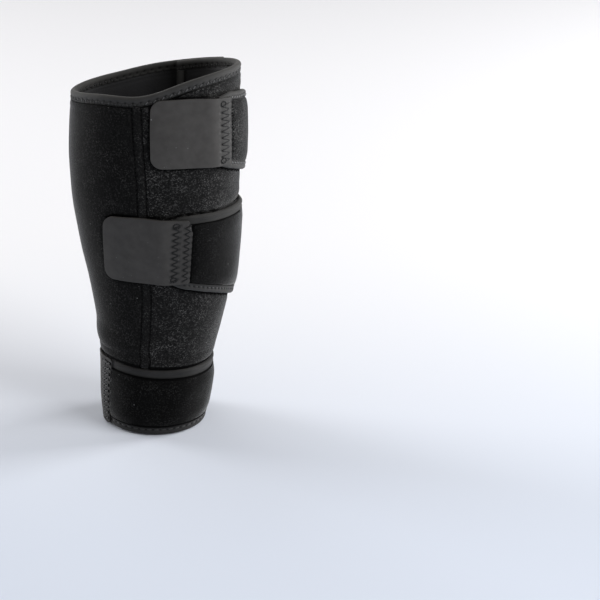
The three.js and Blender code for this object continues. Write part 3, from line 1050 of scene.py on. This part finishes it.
def rim_binding(name, upper):
    """Binding round the upper or lower rim, with the dents of its zigzag."""
    def point_at(along, inset):
        turn = SHEET_TURN * (1 - along / RIM_LENGTH)
        edge = rim_height(turn) - inset if upper else inset
        return turn, edge, sheet_rise(turn)

    return folded_tape(f"{name}_tape", RIM_LENGTH, RIM_BINDING, NEOPRENE, point_at, RIM_HOLES)


def rim_stitches(name, upper):
    """Zigzag along a rim binding, outside from the lap on, and inside as far as the lap. Before the seam,
    every other outer stitch of the upper rim takes the lighter thread, as painted light where the light
    falls on it."""
    along = np.arange(0, RIM_LENGTH, RIM_ZIG / 2)
    turns = SHEET_TURN * (1 - along / RIM_LENGTH)
    insets = np.where(np.arange(len(along)) % 2 == 0, *RIM_ZIG_INSETS)
    heights = rim_height(turns) - insets if upper else insets
    rise = face_rise(insets, RIM_BINDING)
    outside = turns > HIDDEN_TURN
    inside = turns < LAP_FROM
    outer = stitch_line(turns[outside], heights[outside], (sheet_rise(turns) + rise)[outside])
    inner = stitch_line(turns[inside], heights[inside], (-NEOPRENE - rise)[inside], inwards=True)
    # painted light: every other outer stitch before the seam gets the lighter thread
    painted_lit = (np.arange(len(outer[0])) % 2 == 1) & (turns[outside][:-1] < SEAM_TURN) & upper
    dull_rows = [[part[~painted_lit] for part in outer], inner]
    pieces = [gather_stitches(f"{name}_stitches", dull_rows, thread=DULL_THREAD)]
    if painted_lit.any():
        pieces.append(gather_stitches(f"{name}_proud_stitches", [[part[painted_lit] for part in outer]]))
    return pieces


def end_binding(name, end_turn):
    """Binding down one end of the sheet, between the rim bindings."""
    into = 1 if end_turn == 0 else -1
    lowest = RIM_BINDING - END_UNDER
    highest = float(rim_height(end_turn)) - RIM_BINDING + END_UNDER

    def point_at(along, inset):
        height = lowest + along
        return end_turn + into * turn_of(inset, height), height, sheet_rise(end_turn)

    return folded_tape(f"{name}_tape", highest - lowest, RIM_BINDING, NEOPRENE, point_at)


top_binding = keep(rim_binding("top_binding", True), "binding_tape", "top_binding")
bottom_binding = keep(rim_binding("bottom_binding", False), "binding_tape", "bottom_binding")
rim_rows = [
    keep(row, "binding_tape")
    for row in rim_stitches("top_binding", True) + rim_stitches("bottom_binding", False)
]
inner_end = keep(end_binding("inner_end", 0), "binding_tape", "inner_end_binding")
outer_end = keep(end_binding("outer_end", SHEET_TURN), "binding_tape", "outer_end_binding")


# Straps and hook tabs

STRAP_CELL = 1.2
STRAP_ROW = 0.7
STRAP_ROLL = 0.6  # a strap's pull flattens the roll of its bindings
EDGE_DRAW = 0.6  # and draws its edges in
BOW_REACH = STRAP_BINDING + 9  # its bow is full this far in from the edge
TAB_PRESSES_BY = 0.5  # degrees past the root by which a tab presses on its strap
SHADE_BEFORE_TAB = (0.8, 2.0)  # the shadow line painted on the pile before a tab fades between these distances
SHADE_PAST_TAPE = (1.0, 2.8)  # and the one beside a binding
# Stitches that show along the straps' bindings: how far in from the edge they start and end, the step from
# hole to hole, and their thread. The other bindings' stitches lie hidden in the fold.
STRAP_SEAMS = {
    "upper": {"top": (2.8, 4.6, 2.0, TICK_THREAD), "bottom": (3.6, 5.6, 2.0, TICK_THREAD)},
    "middle": {"bottom": (3.8, 3.8, 3.9, DULL_THREAD)},
    "lower": {"bottom": (4.2, 4.2, 5.6, DULL_THREAD)},
}
# the middle and lower straps' darker binding copies are painted shade
STRAP_TAPES = {
    "upper": {"top": BINDING, "bottom": BINDING},
    "middle": {"top": SHADED_MIDDLE_BINDING, "bottom": BINDING},
    "lower": {"top": SHADED_LOWER_BINDING, "bottom": SHADED_LOWER_BINDING},
}
# the upper tab's lighter hook tape is painted light
TAB_TAPES = {"upper": LIT_UPPER_HOOK_TAPE, "middle": HOOK_TAPE, "lower": HOOK_TAPE}
TAB_THREADS = {"upper": TAB_THREAD, "middle": TAB_THREAD, "lower": DULL_THREAD}
STITCHES_STOP = 2  # degrees before a tab's root
STRAP_STITCH_WIDTH = 1.2
TICK_HOLES_IN = 0.3  # a tick's needle holes lie this far in from its ends
ROOT_STEP = 2.2  # from hole to hole of the zigzag at a strap's root
ROOT_ZIG = (1.5, 5.5)  # between these distances from it
TAB_CELL = 1.5
TAB_ROW = 0.7
TAB_EDGE_ROUND = 0.35
TAB_ZIG = 4.6  # pitch of the zigzags that hold a tab on its strap
TAB_ZIG_FROM, TAB_ZIG_BELOW = 2.2, 1.8  # they start and end this far from the tab's edges
ZIG_GAP = 0.12
TAB_STITCH_WIDTH = 1.3
# closed: how dark a closed needle hole is painted as shade, as a share of an open one
TAB_HOLE = {"area": 1.4, "depth": 0.35, "closed": 0.7}
SEWN_LENGTH, SEWN_CELL = 16.0, 0.6  # cells are this fine where a tab is sewn
# the sewn strip's painted shade fades out between these distances from the root
SEWN_SHADE_ENDS = (9.5, 15.0)
ROOT_CUT_SHARE, ROOT_CUT_REACH = 0.2, 8  # a root's cut corner, as a share of its height and along the tab
FREE_CORNER_STEPS, ROOT_CORNER_STEPS = 8, 4
TACK = {"wide": 2.4, "tall": 1.8, "from_edge": 4, "stitches": 10, "gap": 0.1}


def strap_radius(strap):
    """A typical distance of the strap from the tube's axis, for lengths along it."""
    edges = strap["edges"]
    return float(tube_radius((edges["low"][0] + edges["high"][0]) / 2)) + STRAP_NEOPRENE


def strap_arc(strap):
    """The length of a degree along a strap."""
    return math.radians(1) * strap_radius(strap)


def strap_face(strap, turn):
    """Offset of a strap's outer face before it bows."""
    return seat_rise(turn, strap["settled"]) + STRAP_SEAT + STRAP_NEOPRENE


def inside_edge(strap, edge, turn, inset):
    """The height at a distance in from a strap's top or bottom edge."""
    low, high, _ = strap_edges(strap)
    return high(turn) - inset if edge == "top" else low(turn) + inset


def tape_width(strap, edge):
    return strap["top_tape"] if edge == "top" else STRAP_BINDING


def tab_root(strap, height):
    """The turn of a tab's root at a height."""
    tab = strap["tab"]
    share = (height - tab["low"][0]) / (tab["high"][0] - tab["low"][0])
    return tab["turn"][0] - tab["lean"][0] * (share - 0.5)


def under_tab(strap, turn, height):
    """1 where a strap lies under its tab, and 0 before that."""
    root = tab_root(strap, height)
    return ease(turn, root - strap["root_dip"], root + TAB_PRESSES_BY)


def strap_bow(strap, turn, height, from_edge):
    """A strap bows out between its edges, which its pull draws in, and is flat under its tab."""
    share = ease(from_edge, 0, BOW_REACH)
    return (strap["crown"] * share - EDGE_DRAW * (1 - share)) * (1 - under_tab(strap, turn, height))


def strap_cloth(name, strap):
    # the upper strap's lighter pile is painted light
    pile = LIT_UPPER_STRAP_PILE if name == "upper" else STRAP_PILE
    low, high, end = strap_edges(strap)
    arc = strap_arc(strap)
    tallest = max(np.subtract(strap["edges"]["high"], strap["edges"]["low"]))

    def lay(turn, share):
        bottom, top = low(turn) + LIP, high(turn) - LIP
        height = bottom + (top - bottom) * share
        from_edge = np.minimum(height - low(turn), high(turn) - height)
        pressed = np.maximum(squeeze_near(from_edge, STRAP_BINDING), under_tab(strap, turn, height))
        bow = strap_bow(strap, turn, height, from_edge)
        # painted shadow lines on the strap's pile: before the tab's root, and beside the bindings
        before_tab = (tab_root(strap, height) - turn) * arc
        tab_root_shadow = (1 - ease(before_tab, *SHADE_BEFORE_TAB)) * (strap["root_sunk"] == 0)
        tape_edge_shadow = strap["edge_shade"] * (1 - ease(from_edge - STRAP_BINDING, *SHADE_PAST_TAPE))
        return {
            "turn": turn,
            "height": height,
            "offset": strap_face(strap, turn) - STRAP_NEOPRENE / 2 + bow,
            "flat_along": (turn - STRAP_ROOT_TURN) * arc,
            "flat_across": height,
            "hollow": np.maximum(tape_edge_shadow, tab_root_shadow),
            "full": 1 - pressed,
        }

    along = steps(end, STRAP_ROOT_TURN, STRAP_CELL / arc)
    cloth = cut_and_wind(f"{name}_strap_cloth", along, steps(0, 1, STRAP_ROW / tallest), lay, [pile])
    return paint_shade_faces(thicken(cloth, STRAP_NEOPRENE, STRAP_NEOPRENE - 2 * SQUEEZE), PAINTED_SHADE_PILE)


def strap_tape(name, strap, edge):
    """Binding along a strap's top or bottom edge, with the dents of the stitches that show."""
    end, arc = strap["edges"]["turn"][-1], strap_arc(strap)
    holes = []
    if edge in STRAP_SEAMS[name]:
        near, far, step, _ = STRAP_SEAMS[name][edge]
        holes = [(step, 0.0, near)]
        if near != far:
            holes = [(2 * step, 1.5 * step, inset) for inset in (near + TICK_HOLES_IN, far - TICK_HOLES_IN)]

    def point_at(along, inset):
        turn = end - along / arc
        height = inside_edge(strap, edge, turn, inset)
        return turn, height, strap_face(strap, turn) + strap_bow(strap, turn, height, inset)

    def flat_at(along):
        turn = end - along / arc
        return under_tab(strap, turn, inside_edge(strap, edge, turn, 0))

    return folded_tape(f"{name}_strap_{edge}_tape", (end - STRAP_ROOT_TURN) * arc, tape_width(strap, edge),
                       STRAP_NEOPRENE, point_at, holes, flat_at, STRAP_TAPES[name][edge], STRAP_ROLL,
                       strap["edge_shade"], strap["fold_round"])


def strap_stitches(name, strap):
    """The bindings' stitches that show, and the zigzag that holds the strap's root on the sheet."""
    low, high, end = strap_edges(strap)
    arc = strap_arc(strap)
    pieces = []
    for edge, (near, far, step, thread) in STRAP_SEAMS[name].items():
        turns = end - np.arange(0, (end - STRAP_ROOT_TURN) * arc, step) / arc
        inset = np.where(np.arange(len(turns)) % 2 == 0, near, far)
        heights = inside_edge(strap, edge, turns, inset)
        clear = turns < tab_root(strap, heights) - STITCHES_STOP
        turns, inset, heights = turns[clear], inset[clear], heights[clear]
        on_tape = face_rise(inset, tape_width(strap, edge), STRAP_ROLL)
        bow = strap_bow(strap, turns, heights, inset)
        row = stitch_line(turns, heights, strap_face(strap, turns) + on_tape + bow)
        if near != far:
            row = [part[::2] for part in row]
        pieces.append(gather_stitches(f"{name}_strap_{edge}_stitches", [row], STRAP_STITCH_WIDTH,
                                      thread=thread))
    root = np.arange(low(STRAP_ROOT_TURN) + STRAP_BINDING, high(STRAP_ROOT_TURN) - STRAP_BINDING, ROOT_STEP)
    root_turns = STRAP_ROOT_TURN + np.where(np.arange(len(root)) % 2 == 0, *ROOT_ZIG) / arc
    root_face = LAP_RISE + STRAP_SEAT + STRAP_NEOPRENE
    held = stitch_line(root_turns, root, np.full(len(root), root_face))
    return [*pieces, gather_stitches(f"{name}_strap_root_stitches", [held])]


def tab_zigzag(form, left, right):
    """Distances from the root and shares of the way up of one zigzag's needle holes."""
    tall = float(form["high"](form["root"]) - form["low"](form["root"]))
    shares = np.arange(TAB_ZIG_FROM, tall - TAB_ZIG_BELOW, TAB_ZIG / 2) / tall
    return np.where(np.arange(len(shares)) % 2 == 0, right, left), shares, tall


def hook_tab(name, strap):
    """A tab of hook tape, sewn over its strap's end and pressed on the panel, with round free corners."""
    form = tab_form(strap)
    length = form["length"]
    tallest = max(np.subtract(strap["tab"]["high"], strap["tab"]["low"]))

    def lay(along, share):
        past = np.clip(along - (length - TAB_CORNER), 0, TAB_CORNER)
        before = np.clip(TAB_ROOT_CORNER - along, 0, TAB_ROOT_CORNER)
        inset = TAB_CORNER - np.sqrt(TAB_CORNER ** 2 - past ** 2)
        inset = inset + TAB_ROOT_CORNER - np.sqrt(TAB_ROOT_CORNER ** 2 - before ** 2)
        share = share + (1 - 2 * share) * inset / tallest
        in_corner = np.clip((share - 1) / ROOT_CUT_SHARE + 1, 0, 1)
        cut_back = strap["root_cut"] * in_corner * np.clip(1 - along / ROOT_CUT_REACH, 0, 1)
        turn, height = tab_place(form, along + cut_back, share)
        dent = np.zeros(along.shape)
        for columns in strap["zigzags"]:
            for hole_along, hole_share, tall in zip(*np.broadcast_arrays(*tab_zigzag(form, *columns))):
                away = (along - hole_along) ** 2 + ((share - hole_share) * tall) ** 2
                dent = np.maximum(dent, np.exp(-away / TAB_HOLE["area"]))
        # painted shade on the sewn strip and in the needle holes
        sewn = strap["sewn_shade"] * (1 - ease(along, *SEWN_SHADE_ENDS))
        dark = dent if strap["open_holes"] else TAB_HOLE["closed"] * dent
        return {
            "turn": turn,
            "height": height,
            "offset": form["inner"](turn) + HOOK_SHEET / 2 - TAB_HOLE["depth"] * dent,
            "flat_along": along,
            "flat_across": height,
            "hollow": np.maximum(dark, sewn),
        }

    root = TAB_ROOT_CORNER * (1 - np.cos(np.linspace(0, math.pi / 2, ROOT_CORNER_STEPS + 1)))
    sewn = steps(TAB_ROOT_CORNER, SEWN_LENGTH, SEWN_CELL)
    corner = length - TAB_CORNER * (1 - np.sin(np.linspace(0, math.pi / 2, FREE_CORNER_STEPS + 1)))
    plain = steps(SEWN_LENGTH, corner[0], TAB_CELL)
    along = np.concatenate([root[:-1], sewn[:-1], plain, corner[1:]])[::-1]
    across = steps(0, 1, TAB_ROW / tallest)
    cloth = cut_and_wind(f"{name}_hook_tab_cloth", along, across, lay, [TAB_TAPES[name]])
    thicken(cloth, HOOK_SHEET, round_edge=TAB_EDGE_ROUND)
    return paint_shade_faces(cloth, PAINTED_SHADE_TAPE) if strap["open_holes"] else cloth


def tab_stitches(name, strap):
    """The zigzags that hold a tab on its strap, with a tacked loop at each end."""
    form = tab_form(strap)
    rows = []
    for columns in strap["zigzags"]:
        along, shares, tall = tab_zigzag(form, *columns)
        turns, heights = tab_place(form, along, shares)
        rows.append(stitch_line(turns, heights, form["inner"](turns) + HOOK_SHEET, ZIG_GAP))
    angles = np.linspace(0, 2 * math.pi, TACK["stitches"] + 1)
    along = strap["zigzags"][-1][1] - TACK["wide"] + TACK["wide"] * np.cos(angles)
    for middle in (TACK["from_edge"], tall - TACK["from_edge"]):
        turns, heights = tab_place(form, along, (middle + TACK["tall"] * np.sin(angles)) / tall)
        rows.append(stitch_line(turns, heights, form["inner"](turns) + HOOK_SHEET, TACK["gap"]))
    return gather_stitches(f"{name}_tab_stitches", rows, TAB_STITCH_WIDTH, thread=TAB_THREADS[name])


for name, strap in STRAPS.items():
    node = f"{name}_strap"
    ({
        "strap": keep(strap_cloth(name, strap), "loop_pile", node),
        "tab": keep(hook_tab(name, strap), "hook_tape", f"{name}_hook_tab"),
        "trim": [
            keep(strap_tape(name, strap, "top"), "binding_tape", f"{node}_top_binding"),
            keep(strap_tape(name, strap, "bottom"), "binding_tape", f"{node}_bottom_binding"),
            *(keep(row, "binding_tape") for row in strap_stitches(name, strap)),
        ],
        "tacks": [keep(tab_stitches(name, strap), "hook_tape")],
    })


# Each sheet's flat size, in metres, worked out here but not kept

RADIUS_SAMPLES = 200


def declare_panel(turns):
    heights = np.linspace(0, RIM["middle"], RADIUS_SAMPLES)
    area = math.radians(turns) * float(np.mean(tube_radius(heights))) * RIM["middle"] * MM * MM


declare_panel(SEAM_TURN)
declare_panel(SHEET_TURN - SEAM_TURN)
for name, strap in STRAPS.items():
    edges, tab = strap["edges"], strap["tab"]
    strap_length = (edges["turn"][-1] - STRAP_ROOT_TURN) * strap_arc(strap) * MM
    tab_form(strap)["length"] * MM


# Stage, light and camera

FLOOR_SIZE = 14  # metres


def pale_floor():
    """Matt studio paper, white towards the back and pale blue towards the front."""
    material, coords = new_material("studio_paper")
    place = add_node(material, "ShaderNodeSeparateXYZ", {"Vector": (coords, "Object")})
    back = add_node(material, "ShaderNodeMapRange",
                    {"Value": (place, "Y"), "From Min": -0.3, "From Max": 0.45},
                    interpolation_type="SMOOTHSTEP")
    colour = mix_colours(material, (back, "Result"), "#dbe2ef", "#f1f1f4")
    return finish_material(material, colour, None, {"Roughness": 0.9, "Specular IOR Level": 0.1})


bpy.ops.object.select_all(action="DESELECT")
bpy.ops.mesh.primitive_plane_add(size=FLOOR_SIZE)
floor = bpy.context.object
floor.name = "floor"
floor.data.materials.append(pale_floor())

# Soft boxes: where each stands, its width and height, power in watts
SOFT_BOXES = {
    "key": {"place": (1.9, -1.3, 1.9), "size": (1.7, 1.7), "watts": 43.5},
    "left_rim": {"place": (-1.7, 0.9, 0.2), "size": (0.8, 1.4), "watts": 42},
    "right_rim": {"place": (1.85, 0.75, 0.5), "size": (0.8, 1.2), "watts": 44},
    "back_floor": {"place": (-1.0, 1.6, 2.2), "size": (2.0, 2.0), "watts": 16},
}
for name, box in SOFT_BOXES.items():
    lamp = bpy.data.lights.new(f"{name}_light", "AREA")
    lamp.shape = "RECTANGLE"
    lamp.size, lamp.size_y = box["size"]
    lamp.energy = box["watts"]
    stand = bpy.data.objects.new(f"{name}_light", lamp)
    stand.location = box["place"]
    aim = Vector((0, 0, WRAP_MIDDLE * MM)) - stand.location
    stand.rotation_euler = aim.to_track_quat("-Z", "Y").to_euler()
    bpy.context.scene.collection.objects.link(stand)

world = bpy.data.worlds.new("studio")
world.use_nodes = True
background = world.node_tree.nodes["Background"]
background.inputs["Color"].default_value = linear("#faf8f6")
background.inputs["Strength"].default_value = 0.275
bpy.context.scene.world = world
bpy.context.scene.view_settings.view_transform = "Standard"


def photo_camera():
    """A camera at the photo's angle, turned aside so that the wrap's middle falls where it does there."""
    camera = bpy.data.objects.new("camera", bpy.data.cameras.new("camera"))
    camera.data.sensor_width = 36
    camera.data.lens = camera.data.sensor_width * PHOTO_FOCAL / PHOTO_SIZE
    camera.data.clip_start = 0.05
    elevation = math.radians(CAMERA_ELEVATION)
    view = Vector((0, math.cos(elevation), -math.sin(elevation)))
    right, down = (pixel - PHOTO_SIZE / 2 for pixel in PHOTO_MIDDLE)
    ray = Vector((right, -down, -PHOTO_FOCAL))
    aside = ray.rotation_difference(Vector((0, 0, -1)))
    camera.rotation_mode = "QUATERNION"
    camera.rotation_quaternion = view.to_track_quat("-Z", "Y") @ aside
    camera.location = Vector((AXIS_X, AXIS_Y, WRAP_MIDDLE)) * MM - view * CAMERA_DISTANCE
    bpy.context.scene.collection.objects.link(camera)
    bpy.context.scene.camera = camera


photo_camera()
